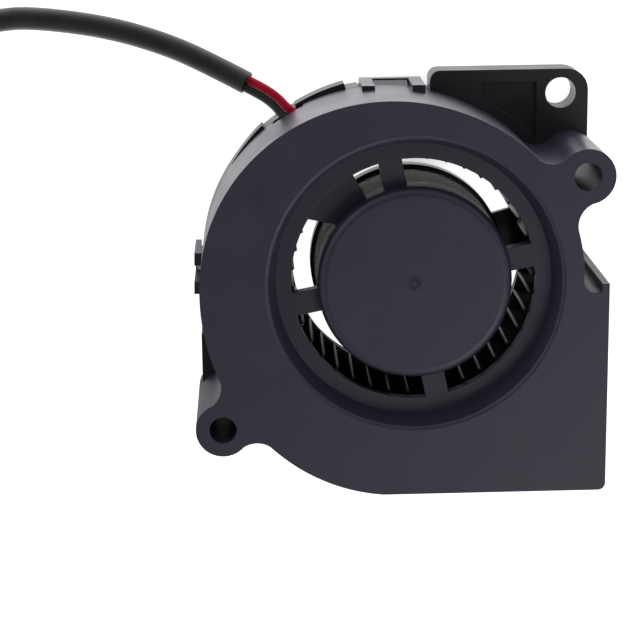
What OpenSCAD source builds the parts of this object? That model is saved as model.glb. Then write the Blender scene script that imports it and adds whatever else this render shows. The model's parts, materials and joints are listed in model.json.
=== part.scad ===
// Radial blower for low-voltage direct current, 50 mm class, with an air inlet on both faces.
// The rotor axis is Z, and z = 0 is the flat rear face that the blower lies on.
// The outlet looks along +X, and the motor base is on the front, at +Z.

/* [Housing] */
// Thickness of the whole blower, face to face
housing_depth = 20; // [18:0.5:24]
// Height of the rear cover, up to the parting line
cover_height = 4.7; // [4:0.1:6]
// Side wall thickness
wall = 1.2; // [1:0.1:1.6]
// Thickness of the front and rear face plates
face_thickness = 1.2; // [0.9:0.1:1.3]
// Outside radius of the scroll where it starts, beside the tongue
scroll_start_r = 20.7; // [20.6:0.1:21.2]
// Steady growth of the scroll radius, per degree of turn
scroll_drift = 0.015; // [0.012:0.001:0.018]
// Extra growth of the scroll radius over its upper left part
scroll_swell = 3.15; // [2.6:0.05:3.6]
// Distance from the rotor axis to the flat bottom wall
bottom_reach = 26.8; // [26:0.1:27.4]

/* [Outlet] */
// Distance from the rotor axis to the outlet face
outlet_reach = 23.8; // [23.2:0.1:25]
// Drop from the rotor axis to the top of the outlet duct
outlet_drop = 1.3; // [1:0.1:2]
// Height of the lip that stands up along the outlet
outlet_lip = 1.1; // [0.6:0.1:1.3]

/* [Front inlet] */
// Radius of the recess at the front face
recess_r = 17.9; // [17.6:0.1:18.2]
// Depth of the recess floor below the front face
recess_depth = 3.5; // [3:0.1:3.6]
// Narrowing of the recess from its rim to its floor
recess_draft = 0.8; // [0.4:0.1:1]
// Outer radius of the four air slots
slot_r = 15.2; // [15:0.1:15.6]
// Radius of the motor base
base_r = 12; // [11.6:0.1:12.2]
// How far the motor base stays below the front face
base_drop = 0.9; // [0.6:0.1:1.1]
// Width of each spoke
spoke_w = 2.9; // [2.8:0.1:3.6]
// Turn of the spokes from the outlet direction, in degrees
spoke_turn = 11; // [8:1:14]

/* [Rear inlet] */
// Radius of the rear inlet opening
rear_inlet_r = 15.2; // [14.9:0.1:15.6]
// Height of the round lip around the rear inlet
rear_lip_h = 0.7; // [0.4:0.1:0.8]

/* [Mounting] */
// Radius of the screw holes in the two housing lugs
lug_hole_r = 1.7; // [1.5:0.05:2]
// Outside radius of the two lugs
lug_r = 3.4; // [3.1:0.1:3.6]
// Radius of the hollows on both sides of a lug's neck
neck_round = 3; // [2:0.25:4]
// Radius of the screw hole in the corner plate
corner_hole_r = 1.95; // [1.7:0.05:2.2]
// Depth of the pocket in the corner plate
pocket_depth = 0.6; // [0.3:0.1:1]

/* [Snap loops] */
// Thickness of the loops, out from the wall
loop_t = 0.75; // [0.6:0.05:0.8]
// Width of each leg of a loop
loop_leg = 1.6; // [1.2:0.1:1.8]
// Height at which the loops leave the front housing
loop_top = 9.5; // [8:0.5:12]
// Gap between the loops and the rear cover
loop_gap = 0.14; // [0.1:0.02:0.2]

/* [Impeller] */
// Number of blades
blade_count = 39; // [35:1:41]
// Radius at the inner ends of the blades
blade_inner_r = 14.8; // [14.6:0.1:15]
// Gap between the blades and the scroll wall where it starts
blade_gap = 0.8; // [0.6:0.1:1.4]
// Forward sweep of a blade from its root to its tip, in degrees
blade_sweep = 11; // [8:1:14]
// Thickness of a blade
blade_t = 0.6; // [0.5:0.05:0.7]
// Height of the impeller's rear end above the rear face
impeller_rear = 2; // [1.9:0.1:2.2]
// Running gap between the rotor and the motor base side
rotor_gap = 0.5; // [0.45:0.05:0.7]
// Number of webs that carry the blade ring
web_count = 3; // [3:1:5]
// Width of each web
web_w = 4.9; // [4:0.1:6]

/* [Rotor] */
// Outside radius of the steel yoke
yoke_r = 12; // [11.8:0.05:12.2]
// Sheet thickness of the yoke
yoke_t = 0.8; // [0.6:0.05:0.9]
// Wall of the plastic hub around the yoke
hub_wall = 0.5; // [0.4:0.05:0.6]
// Height of the hub skirt
skirt_h = 3.2; // [2.6:0.1:4]
// Radial thickness of the magnet ring
magnet_t = 1.1; // [0.9:0.05:1.2]
// Shaft radius
shaft_r = 1.5; // [1.45:0.05:1.55]

/* [Stator] */
// Air gap between the magnet and the poles
air_gap = 0.4; // [0.3:0.05:0.5]
// Height of the lamination stack
stack_h = 4; // [3:0.5:4.5]
// Width of a pole's arm
arm_w = 2.2; // [1.8:0.1:2.6]
// Radial thickness of the bearing tube
tube_t = 0.8; // [0.7:0.05:0.9]
// Outside radius of the ball bearings
bearing_r = 3; // [2.9:0.05:3.1]
// Height of each ball bearing
bearing_h = 2.5; // [2.2:0.1:2.6]

/* [Lead] */
// Diameter of each insulated lead
lead_d = 1.1; // [1:0.05:1.15]
// Outside diameter of the sleeve over both leads
sleeve_d = 2.9; // [2.6:0.05:3]
// Turns of sleeve in the coil
coil_turns = 2; // [1:1:3]

/* [Hidden] */

// Fineness of the round shapes, which stay true curves
$fn = 96;
// A little extra on cutting tools, so that they pass right through
cut = 0.5;
// Overlap of shapes that are one moulding
fuse = 0.2;

// Heights along the axis
front_z = housing_depth;
recess_floor_z = front_z - recess_depth;
base_top_z = front_z - base_drop;
base_under_z = base_top_z - face_thickness;
spoke_under_z = recess_floor_z - 1.55;
rotor_top_z = spoke_under_z - rotor_gap;
floor_under_z = recess_floor_z - face_thickness;

// Angles, in degrees
tongue_a = 5;
swell_from_a = 62;
swell_to_a = 170;
scroll_end_a = 270;
flatten_from_a = 235;
lead_exit_a = 128;
lead_spoke_a = 90 + spoke_turn;

// Places of the fastening holes
lug_right = [20.9, 13.1];
lug_left = [-24, -17.9];
corner_hole = [19.7, 21.3];
corner_plate_left = 3.05;
corner_plate_right = 23.2;
corner_plate_top = 24.35;
corner_plate_low = 11.5;
corner_plate_round = 2.7;
foot_left = -26.8;
foot_top = -9.5;

// How far round each snap loop sits, and how far its middle stands out from the wall
top_loop_a = 94.7;
top_loop_out = 0.54;
left_loop_a = 180.6;
left_loop_out = 0.87;
bottom_loop_x = 3;
bottom_loop_out = 0.7;

// The clearance on each side of the leads in their channel, and the channel's size
lead_clear = 0.08;
lead_pair_w = 2 * lead_d + 3 * lead_clear;
lead_offset = (lead_d + lead_clear) / 2;
lead_run_z = spoke_under_z + lead_d / 2;
channel_top_z = spoke_under_z + lead_d + lead_clear;

// The bar of each snap loop
loop_bar_z = 0.9;
loop_bar_h = 1.5;

// Radius at the outer ends of the blades
blade_outer_r = scroll_start_r - wall - blade_gap;

// Rotor
yoke_inner_r = yoke_r - yoke_t;
magnet_inner_r = yoke_inner_r - magnet_t;
hub_cap_t = 1.4;
yoke_rear_z = impeller_rear + hub_cap_t;
bush_rear_z = impeller_rear + 0.6;
bush_top_z = yoke_rear_z + 1.6;
bush_r = 3;
magnet_rear_z = bush_top_z;
magnet_short = 0.3;

// Bearings and their tube
tube_r = bearing_r + tube_t;
spring_h = 1.2;
rear_bearing_z = bush_top_z + spring_h;
tube_rear_z = rear_bearing_z - 0.4;
front_bearing_z = base_under_z - 0.8 - bearing_h;
ring_split_r = (shaft_r + bearing_r) / 2 - 0.25;
ring_gap = 0.08;
clip_z = front_bearing_z + bearing_h;
clip_t = 0.3;
clip_groove_r = shaft_r - 0.3;
shaft_top_z = base_under_z - 0.3;

// Stator
pole_r = magnet_inner_r - air_gap;
pole_t = 1.1;
core_hub_r = tube_r + 1.4;
stack_z = 7.4;
insulator_t = 0.6;
bobbin_clear = 0.3;
winding_build = 1.3;
winding_from_r = core_hub_r + 0.5;
winding_half_w = arm_w / 2 + bobbin_clear + winding_build;
winding_to_r = sqrt(pow(pole_r - pole_t, 2) - pow(winding_half_w, 2)) - 0.15;
pole_angle = 76;

// Circuit board and what is on it
board_t = 0.8;
board_z = channel_top_z + 0.15;
board_hole_r = tube_r + 1.6;
board_r = base_r - wall - 0.2;
boss_r = tube_r + 1.4;

function along_spoke(r, up) = [r * cos(lead_spoke_a), r * sin(lead_spoke_a), lead_run_z + up];
// Route of the pair of leads inside and out, as the middle line between the two
LEAD_ROUTE = [along_spoke(8.7, 0.08), along_spoke(12.2, 0), along_spoke(15.8, 0),
    along_spoke(18.3, 0), [-4.5, 19.9, 15.2], [-6.4, 19.7, 13.6], [-8.6, 19.3, 11.2], [-10.4, 18.8, 8.8],
    [-12, 18.3, 6.9], [-13.7, 18.5, 5.7], [-15.4, 19.8, 5.4], [-17.4, 21.6, 5.1],
    [-20.2, 23.1, 4.7]];
// Route of the sleeve from its mouth to the coil
SLEEVE_ROUTE = [[-20.2, 23.1, 4.7], [-24, 25, 3.9], [-28.5, 27.2, 2.9], [-33, 28.9, 2.1],
    [-38.5, 30.3, 1.65], [-44.5, 31.2, 1.5], [-51, 31.5, 1.5], [-56.5, 31.5, 1.6],
    [-62, 31.5, 1.8]];
// Route of the two tails from the end of the sleeve to the connector
TAIL_ROUTE = [[-69.4, 25, 1.8], [-70.6, 24, 2], [-71.3, 22.4, 2.35], [-71.4, 20.1, 2.4]];
coil_lift = 0.35;
coil_outer_turn_r = 15.5;
coil_center = [-68, 31.5 - coil_outer_turn_r];
coil_outer_r = coil_outer_turn_r + sleeve_d / 2;
coil_inner_r = coil_outer_turn_r - coil_turns * sleeve_d - sleeve_d / 2;
tie_t = 0.35;
tie_w = 2.5;
connector_size = [5.9, 8, 4.8];
connector_back = [-71.4, 20];
pin_pitch = 2;
cavity_w = 1.4;
cavity_depth = 6;
cavity_z = 1.7;
terminal_w = 1.2;
terminal_l = 5;
tail_spread = pin_pitch / 2;

// Smooth step from 0 to 1
function ease(x) = let (c = max(0, min(1, x))) c * c * (3 - 2 * c);

// Outside radius of the scroll at angle a
function swell_r(a) = scroll_start_r + scroll_drift * (a - tongue_a)
    + scroll_swell * ease((a - swell_from_a) / (swell_to_a - swell_from_a));
scroll_over = swell_r(scroll_end_a) - bottom_reach;
function scroll_r(a) = swell_r(a)
    - scroll_over * pow(max(0, a - flatten_from_a) / (scroll_end_a - flatten_from_a), 2);

function polar(r, a) = [r * cos(a), r * sin(a)];

// Each snap loop: the middle of its outer face, the way it faces, its width
LOOPS = [[polar(scroll_r(top_loop_a) + top_loop_out, top_loop_a), 90, 7.9],
    [polar(scroll_r(left_loop_a) + left_loop_out, left_loop_a), 178.5, 5.3],
    [[bottom_loop_x, -bottom_reach - bottom_loop_out], 270, 7.2]];

// Points of an arc
function arc(center, r, from, to, steps = 6) =
    [for (i = [0:steps]) center + polar(r, from + (to - from) * i / steps)];

// Smooth curve through the points of a route, with a number of steps between each two
function spline_point(a, b, c, d, t) = 0.5 * (2 * b + (c - a) * t
    + (2 * a - 5 * b + 4 * c - d) * t * t + (3 * b - a - 3 * c + d) * t * t * t);
function smooth(p, steps) = let (n = len(p) - 1) concat(
    [for (i = [0:n - 1]) for (k = [0:steps - 1])
        spline_point(p[max(i - 1, 0)], p[i], p[i + 1], p[min(i + 2, n)], k / steps)], [p[n]]);

function unit(v) = v / norm(v);
function heading(p, i) = unit(p[min(i + 1, len(p) - 1)] - p[max(i - 1, 0)]);
function level_side(t) = unit([-t[1], t[0], 0]);

// A route moved sideways on the level, to the left of its heading when d is above 0
function beside(p, d) = [for (i = [0:len(p) - 1]) p[i] + d * level_side(heading(p, i))];

// Round tube along a route that never runs straight up
module tube_along(p, d, sides = 8) {
    last = len(p) - 1;
    rings = [for (i = [0:last]) let (t = heading(p, i), s = level_side(t), u = cross(t, s))
        for (k = [0:sides - 1]) p[i] + d / 2 * (cos(360 * k / sides) * s + sin(360 * k / sides) * u)];
    walls = [for (i = [0:last - 1]) for (k = [0:sides - 1]) let (m = (k + 1) % sides)
        each [[i * sides + k, (i + 1) * sides + k, (i + 1) * sides + m],
              [i * sides + k, (i + 1) * sides + m, i * sides + m]]];
    ends = [[for (k = [0:sides - 1]) k], [for (k = [sides - 1:-1:0]) last * sides + k]];
    polyhedron(points = rings, faces = concat(walls, ends));
}

// Flat washer or tube
module ring(r_out, r_in, h, z = 0) {
    translate([0, 0, z]) difference() {
        cylinder(r = r_out, h = h);
        translate([0, 0, -cut]) cylinder(r = r_in, h = h + 2 * cut);
    }
}

// Rectangle with round corners, centred
module round_rect(w, h, r) {
    square([w - 2 * r, h], center = true);
    square([w, h - 2 * r], center = true);
    for (x = [-1, 1], y = [-1, 1])
        translate([x * (w / 2 - r), y * (h / 2 - r)]) circle(r = r, $fn = 32);
}

// Plan of the scroll and its outlet duct, drawn in from the outside by an inset
module scroll_plan(inset) {
    hollow = inset > wall / 2;
    corner_r = hollow ? 0.4 : outlet_drop;
    foot_r = hollow ? 0.3 : 0.9;
    reach = hollow ? outlet_reach + 2 * foot_r : outlet_reach;
    duct_top = -outlet_drop - inset;
    low = -bottom_reach + inset;
    start = polar(scroll_r(tongue_a) - inset, tongue_a);
    throat = arc([start[0] + corner_r, duct_top + corner_r], corner_r, 270, 180);
    spiral = [for (a = [tongue_a:2.5:scroll_end_a]) polar(scroll_r(a) - inset, a)];
    foot = arc([reach - foot_r, low + foot_r], foot_r, 270, 360, 4);
    intersection() {
        polygon(concat(throat, spiral, foot, [[reach, duct_top]]));
        translate([-2 * bottom_reach, low]) square(4 * bottom_reach);
    }
}

// How far a lug's hollows run into the lug and the scroll
bite = 0.06;
// Middle of a round hollow that touches both a lug and the scroll, on one side of the neck
function hollow_center(center, body_r, side) = let (
    d = norm(center), a = body_r + neck_round - bite, b = lug_r + neck_round - bite,
    along = (d * d + a * a - b * b) / (2 * d), across = side * sqrt(a * a - along * along),
    turn = atan2(center[1], center[0])) [along * cos(turn) - across * sin(turn),
    along * sin(turn) + across * cos(turn)];

// Plan of a lug and the neck that joins it to the scroll, hollow on both sides
module lug_plan(center) {
    turn = atan2(center[1], center[0]);
    hollows = [for (side = [-1, 1]) hollow_center(center, scroll_r((turn + 360) % 360 + side * 12), side)];
    feet = [for (h = hollows) unit(h) * (norm(h) - neck_round - bite)];
    tips = [for (h = hollows) center + unit(h - center) * (lug_r - 2 * bite)];
    translate(center) circle(r = lug_r);
    difference() {
        polygon([feet[0], tips[0], center, tips[1], feet[1]]);
        for (h = hollows) translate(h) circle(r = neck_round);
    }
}

// Moves a piece to the middle of a loop's outer face, with X pointing out
module at_loop(l) {
    translate([l[0][0], l[0][1], 0]) rotate(l[1]) children();
}

// A snap loop of the front housing: two legs and a bar behind the cover's barb
module snap_loop(l) {
    root = 1.5;
    w = l[2];
    at_loop(l) difference() {
        translate([-root, -w / 2, loop_bar_z]) cube([root, w, loop_top - loop_bar_z]);
        translate([-root - cut, -w / 2 + loop_leg, loop_bar_z + loop_bar_h])
            cube([root + 2 * cut, w - 2 * loop_leg, loop_top]);
        translate([-root - cut, -w / 2 - cut, loop_bar_z - cut])
            cube([root + cut - loop_t, w + 2 * cut, cover_height - loop_bar_z + cut]);
    }
}

// Flat on the rear cover that makes room for a loop
module loop_flat(l) {
    w = l[2] + 4 * loop_gap;
    at_loop(l) translate([-loop_t - loop_gap, -w / 2, -cut])
        cube([2 * loop_t, w, cover_height + 4 * loop_gap + 2 * cut]);
}

// The barb on the rear cover that a loop snaps over
module snap_barb(l) {
    gap = 0.2;
    barb_w = l[2] - 2 * loop_leg - 2 * gap;
    barb_z = loop_bar_z + loop_bar_h + gap / 2;
    barb_h = cover_height - barb_z;
    root = loop_t + loop_gap + 0.4;
    tip = root - gap;
    at_loop(l) translate([-root, barb_w / 2, barb_z]) rotate([90, 0, 0]) linear_extrude(barb_w)
        polygon([[0, 0], [tip, 0], [tip, 0.3], [root - loop_t - loop_gap, barb_h], [0, barb_h]]);
}

// Moulded front half: scroll wall, front plate, inlet recess, spokes and motor base
module front_housing() color([0.2, 0.2, 0.24]) difference() {
    union() {
        front_walls();
        front_recess();
        motor_base();
        spokes();
        lead_guide();
        outlet_rim(cover_height, front_z);
        for (l = LOOPS) snap_loop(l);
    }
    lug_holes(cover_height, front_z);
    lead_channel();
    lead_notch();
}

module front_walls() {
    seam_h = 0.25;
    seam_t = 0.2;
    translate([0, 0, cover_height]) linear_extrude(seam_h + fuse) difference() {
        union() {
            scroll_plan(seam_t);
            lug_plan(lug_right);
            lug_plan(lug_left);
        }
        scroll_plan(wall);
    }
    translate([0, 0, cover_height + seam_h]) linear_extrude(front_z - cover_height - seam_h) difference() {
        union() {
            scroll_plan(0);
            lug_plan(lug_right);
            lug_plan(lug_left);
        }
        scroll_plan(wall);
    }
    translate([0, 0, front_z - face_thickness]) linear_extrude(face_thickness) difference() {
        scroll_plan(0);
        circle(r = recess_r + wall / 2);
    }
}

// Drafted wall of the inlet recess, with a round edge at the front and the slotted floor
module front_recess() {
    edge_r = 0.6;
    floor_r = recess_r - recess_draft;
    rotate_extrude() polygon(concat(
        [[slot_r, floor_under_z], [floor_r + wall, floor_under_z],
         [recess_r + wall, front_z - face_thickness], [recess_r + wall, front_z]],
        arc([recess_r + edge_r, front_z - edge_r], edge_r, 90, 170, 4),
        [[floor_r, recess_floor_z], [slot_r, recess_floor_z]]));
}

// Closed cup that carries the bearing tube and hides the circuit board
module motor_base() {
    edge_r = 1.2;
    tube_seat_z = floor_under_z + 0.6;
    rotate_extrude() polygon(concat(
        [[0, base_under_z], [tube_r, base_under_z], [tube_r, tube_seat_z], [boss_r, tube_seat_z],
         [boss_r, base_under_z], [base_r - wall, base_under_z], [base_r - wall, spoke_under_z],
         [base_r, spoke_under_z]],
        arc([base_r - edge_r, base_top_z - edge_r], edge_r, 0, 90, 5),
        [[0, base_top_z]]));
    for (a = [45:90:315]) rotate(a) translate([boss_r - fuse, -0.5, board_z + board_t])
        cube([base_r - wall - boss_r + 2 * fuse, 1, base_under_z - board_z - board_t + fuse]);
}

module spokes() {
    for (k = [0:3]) rotate(spoke_turn + 90 * k)
        translate([base_r - wall / 2, -spoke_w / 2, spoke_under_z])
            cube([recess_r - recess_draft + wall / 2 - base_r + wall / 2, spoke_w,
                recess_floor_z - spoke_under_z]);
}

// Flat web beside the lead spoke, under the level of the floor, from the motor base to the floor
module lead_guide() {
    guide_h = 0.65;
    from_a = 119.5;
    inner_to_a = 143;
    outer_to_a = 150;
    in_r = base_r - wall / 2;
    out_r = slot_r + 2 * fuse;
    translate([0, 0, spoke_under_z]) linear_extrude(guide_h)
        polygon(concat(arc([0, 0], in_r, from_a, inner_to_a), arc([0, 0], out_r, outer_to_a, from_a, 8)));
}

// Lip across the top of the outlet
module outlet_rim(from_z, to_z) {
    lip_t = 0.9;
    translate([outlet_reach - lip_t, -outlet_drop - wall, from_z])
        cube([lip_t, wall + outlet_lip, to_z - from_z]);
}

module lug_holes(from_z, to_z) {
    for (p = [lug_right, lug_left])
        translate([p[0], p[1], from_z - cut]) cylinder(r = lug_hole_r, h = to_z - from_z + 2 * cut);
}

// Channel on the underside of one spoke for the two leads
module lead_channel() {
    rotate(lead_spoke_a) translate([boss_r + 1, -lead_pair_w / 2, spoke_under_z - cut])
        cube([recess_r + wall - boss_r, lead_pair_w, channel_top_z - spoke_under_z + cut]);
}

// Notch at the parting line where the leads leave
module lead_notch() {
    side = 1;
    over = 0.95;
    rotate(lead_exit_a)
        translate([scroll_r(lead_exit_a) - 2 * wall, -lead_pair_w / 2 - side, cover_height - cut])
            cube([3 * wall, lead_pair_w + 2 * side, lead_d + over + cut]);
}

// Moulded rear half: rear plate with its inlet, low walls, corner plate, foot and barbs
module rear_cover() color([0.13, 0.13, 0.16]) {
    cover_body();
    for (l = LOOPS) snap_barb(l);
}

module cover_body() difference() {
    union() {
        linear_extrude(face_thickness) cover_plan();
        linear_extrude(cover_height) difference() {
            cover_plan();
            scroll_plan(wall);
        }
        locating_lip();
        inlet_lip();
        outlet_rim(0, cover_height);
        lead_guards();
    }
    for (l = LOOPS) loop_flat(l);
    translate([0, 0, -cut]) cylinder(r = rear_inlet_r, h = cover_height);
    lug_holes(0, cover_height);
    translate([corner_hole[0], corner_hole[1], -cut]) cylinder(r = corner_hole_r, h = cover_height + 2 * cut);
    corner_pocket();
}

// Plan of the rear cover: the front housing's plan with a corner plate and a square foot
module cover_plan() {
    scroll_plan(0);
    lug_plan(lug_right);
    lug_plan(lug_left);
    difference() {
        union() {
            corner_plan();
            translate([foot_left, lug_left[1]]) square([abs(foot_left) / 3, foot_top - lug_left[1]]);
        }
        scroll_plan(wall / 2);
    }
}

module corner_plan() {
    small_round = 1.2;
    polygon(concat(
        [[corner_plate_right, corner_plate_low]],
        arc([corner_plate_right, corner_plate_top] - corner_plate_round * [1, 1], corner_plate_round, 0, 90),
        arc([corner_plate_left + small_round, corner_plate_top - small_round], small_round, 90, 180, 4),
        [[corner_plate_left, scroll_start_r], polar(scroll_start_r, 30)]));
}

// Shallow pocket in the corner plate, beside its hole
module corner_pocket() {
    left = 9.5;
    right = 16.6;
    rim = 1.6;
    translate([0, 0, cover_height - pocket_depth]) linear_extrude(pocket_depth + cut) difference() {
        translate([left, 0]) square([right - left, corner_plate_top - rim]);
        circle(r = scroll_r(60) + wall);
    }
}

// Low lip that locates the cover inside the front housing
module locating_lip() {
    lip_t = 0.6;
    lip_h = 0.8;
    lip_gap = 0.1;
    translate([0, 0, cover_height - fuse]) linear_extrude(lip_h + fuse) difference() {
        scroll_plan(wall + lip_gap);
        scroll_plan(wall + lip_gap + lip_t);
        rotate(lead_exit_a) translate([scroll_start_r, -3]) square([6, 6]);
        translate([outlet_reach - 8, -2 * bottom_reach]) square(2 * bottom_reach);
        rotate(-40) square(2 * bottom_reach);
    }
    translate([0, 0, face_thickness]) linear_extrude(cover_height - face_thickness) difference() {
        scroll_plan(wall - fuse);
        scroll_plan(wall + lip_gap + lip_t);
        rotate(lead_exit_a) translate([scroll_start_r, -3]) square([6, 6]);
        translate([outlet_reach - 8, -2 * bottom_reach]) square(2 * bottom_reach);
        rotate(-40) square(2 * bottom_reach);
    }
}

// Rounded lip around the rear inlet, inside
module inlet_lip() {
    lip_t = 1.4;
    middle = rear_inlet_r + lip_t / 2 - fuse;
    rotate_extrude() polygon(concat(
        [[middle - lip_t / 2, face_thickness / 2], [middle + lip_t / 2, face_thickness / 2]],
        arc([middle, face_thickness + rear_lip_h - lip_t / 2], lip_t / 2, 0, 180, 6)));
}

// Two raised guards on the cover's wall, beside the leads: from and to angle, height at each
GUARDS = [[109, 125, 0.75, 0.35], [136, 150, 0.5, 0.05]];
module lead_guards() {
    guard_z = 1.5;
    for (g = GUARDS)
        translate([0, 0, guard_z]) linear_extrude(cover_height - guard_z) polygon(concat(
            [for (a = [g[0]:2:g[1]])
                polar(scroll_r(a) + g[2] + (g[3] - g[2]) * (a - g[0]) / (g[1] - g[0]), a)],
            [for (a = [g[1]:-2:g[0]]) polar(scroll_r(a) - wall / 2, a)]));
}

// Brass tube with a shoulder between its two bearings
module bearing_tube() color("goldenrod") difference() {
    ring(tube_r, bearing_r - 0.4, base_under_z - tube_rear_z, tube_rear_z);
    translate([0, 0, tube_rear_z - cut])
        cylinder(r = bearing_r, h = rear_bearing_z + bearing_h - tube_rear_z + cut);
    translate([0, 0, front_bearing_z]) cylinder(r = bearing_r, h = front_z);
}

// Outer ring and shields of a ball bearing
module bearing_outer(z) color("silver")
    ring(bearing_r, ring_split_r + ring_gap, bearing_h, z);

// Inner ring of a ball bearing, which turns with the shaft
module bearing_inner(z) color("gainsboro")
    ring(ring_split_r, shaft_r, bearing_h, z);

// Four-pole lamination stack
module stator_core() color("dimgray")
    translate([0, 0, stack_z]) linear_extrude(stack_h) difference() {
        union() {
            circle(r = core_hub_r);
            for (k = [0:3]) rotate(90 * k) {
                translate([0, -arm_w / 2]) square([pole_r - pole_t / 2, arm_w]);
                pole_shoe(pole_r, pole_r - pole_t);
            }
        }
        circle(r = tube_r);
    }

// Arc-shaped end of a pole, in plan
module pole_shoe(r_out, r_in) {
    half = pole_angle / 2;
    intersection() {
        difference() {
            circle(r = r_out);
            circle(r = r_in);
        }
        polygon([[0, 0], polar(2 * r_out, -half), polar(2 * r_out, half)]);
    }
}

// Bobbin half that covers one face of the stack
module insulator(z) color("ivory")
    translate([0, 0, z]) linear_extrude(insulator_t) difference() {
        union() {
            circle(r = core_hub_r + bobbin_clear);
            for (k = [0:3]) rotate(90 * k) {
                translate([0, -arm_w / 2 - bobbin_clear])
                    square([pole_r - pole_t / 2, arm_w + 2 * bobbin_clear]);
                pole_shoe(pole_r - bobbin_clear, pole_r - pole_t);
            }
        }
        circle(r = tube_r);
    }

// Copper coil around one arm
module winding(k) color("chocolate") {
    hole_w = arm_w + 2 * bobbin_clear;
    hole_h = stack_h + 2 * insulator_t;
    rotate(90 * k) translate([winding_from_r, 0, stack_z + stack_h / 2]) rotate([90, 0, 90])
        linear_extrude(winding_to_r - winding_from_r) difference() {
            round_rect(hole_w + 2 * winding_build, hole_h + 2 * winding_build, 1);
            square([hole_w, hole_h], center = true);
        }
}

// Wire posts from the bobbin to the board
module winding_pins() color("silver") {
    pin_r = 0.3;
    pin_z = stack_z + stack_h + insulator_t;
    for (a = [0:90:270]) rotate(a)
        translate([pole_r - pole_t / 2 - bobbin_clear, 0, pin_z])
            cylinder(r = pin_r, h = board_z - pin_z, $fn = 24);
}

module circuit_board() color("darkgreen")
    ring(board_r, board_hole_r, board_t, board_z);

// A part soldered to the underside of the board: angle, distance from the axis, size
module board_part(a, r, size) {
    rotate(a) translate([r, -size[1] / 2, board_z - size[2]]) cube(size);
}

module hall_sensor() color([0.1, 0.1, 0.1]) board_part(45, 7.6, [1.5, 3, 1.1]);
module driver_chip() color([0.1, 0.1, 0.1]) board_part(225, 6, [3.2, 4, 1.2]);
module filter_capacitor() color("tan") board_part(315, 7, [1.3, 2, 1]);

// One blade in plan, an arc that leans forward towards its tip
function blade_line(t) = polar(blade_inner_r + (blade_outer_r - blade_inner_r) * t, blade_sweep * t * t);
module blade_plan() {
    steps = 5;
    line = [for (i = [0:steps]) blade_line(i / steps)];
    side = [for (i = [0:steps]) let (t = unit(line[min(i + 1, steps)] - line[max(i - 1, 0)]))
        [-t[1], t[0]] * blade_t / 2 * (0.6 + 0.4 * sin(180 * i / steps))];
    polygon(concat([for (i = [0:steps]) line[i] - side[i]], [for (i = [steps:-1:0]) line[i] + side[i]]));
}

// Impeller: hub cup, carrying webs and a ring of forward-curved blades
module impeller() color([0.12, 0.12, 0.13]) {
    ring_t = 1;
    tie_r = 0.7;
    blade_rear_z = impeller_rear + 0.6;
    hub_cup();
    web_turn = 15.5;
    web_t = 1.2;
    for (k = [0:web_count - 1]) rotate(web_turn + 360 * k / web_count)
        translate([yoke_r + hub_wall / 2, -web_w / 2, blade_rear_z])
            cube([blade_inner_r - yoke_r + hub_wall, web_w, web_t]);
    ring(blade_outer_r - 0.3, blade_inner_r, ring_t, blade_rear_z);
    translate([0, 0, blade_rear_z + ring_t - fuse])
        linear_extrude(rotor_top_z - blade_rear_z - ring_t + fuse)
            for (k = [0:blade_count - 1]) rotate(360 * k / blade_count) blade_plan();
    ring(blade_outer_r, blade_outer_r - tie_r, ring_t, rotor_top_z - ring_t);
}

// Plastic cup over the closed end of the yoke, with a seat for the shaft bush
module hub_cup() {
    edge_r = 0.8;
    hub_r = yoke_r + hub_wall;
    rotate_extrude() polygon(concat(
        [[0, impeller_rear]],
        arc([hub_r - edge_r, impeller_rear + edge_r], edge_r, 270, 360, 4),
        [[hub_r, impeller_rear + skirt_h - hub_wall / 2], [hub_r - hub_wall / 2, impeller_rear + skirt_h],
         [yoke_r, impeller_rear + skirt_h], [yoke_r, yoke_rear_z], [bush_r, yoke_rear_z],
         [bush_r, bush_rear_z], [0, bush_rear_z]]));
}

// Drawn steel cup that carries the magnet
module rotor_yoke() color("lightsteelblue") difference() {
    translate([0, 0, yoke_rear_z]) cylinder(r = yoke_r, h = rotor_top_z - yoke_rear_z);
    translate([0, 0, yoke_rear_z + yoke_t]) cylinder(r = yoke_inner_r, h = rotor_top_z);
    translate([0, 0, yoke_rear_z - cut]) cylinder(r = bush_r, h = 2 * yoke_t + cut);
}

module magnet_ring() color([0.25, 0.25, 0.25])
    ring(yoke_inner_r, magnet_inner_r, rotor_top_z - magnet_short - magnet_rear_z, magnet_rear_z);

// Steel shaft with a groove for its clip
module shaft() color("silver") difference() {
    translate([0, 0, bush_rear_z]) cylinder(r = shaft_r, h = shaft_top_z - bush_rear_z);
    ring(2 * shaft_r, clip_groove_r, clip_t, clip_z);
}

module shaft_bush() color("goldenrod")
    ring(bush_r, shaft_r, bush_top_z - bush_rear_z, bush_rear_z);

// Coil spring that pushes the rear bearing's inner ring
module preload_spring() color("silver") {
    wire_d = 0.3;
    turns = 2.5;
    steps = 14;
    r = (shaft_r + ring_split_r) / 2 + 0.1;
    rise = spring_h - wire_d;
    tube_along([for (i = [0:turns * steps]) let (a = 360 * i / steps)
        [r * cos(a), r * sin(a), bush_top_z + wire_d / 2 + rise * i / (turns * steps)]], wire_d, 6);
}

// Split washer in the shaft's groove
module retaining_clip() color("gray") difference() {
    ring(ring_split_r, clip_groove_r, clip_t, clip_z);
    translate([0, -clip_groove_r / 2, clip_z - cut]) cube([2 * bearing_r, clip_groove_r, clip_t + 2 * cut]);
}

module lead_red() color("crimson") tube_along(beside(smooth(LEAD_ROUTE, 2), -lead_offset), lead_d);
module lead_black() color([0.15, 0.15, 0.16]) tube_along(beside(smooth(LEAD_ROUTE, 2), lead_offset), lead_d);
module lead_sleeve() color([0.12, 0.13, 0.14]) tube_along(smooth(SLEEVE_ROUTE, 1), sleeve_d);

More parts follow.
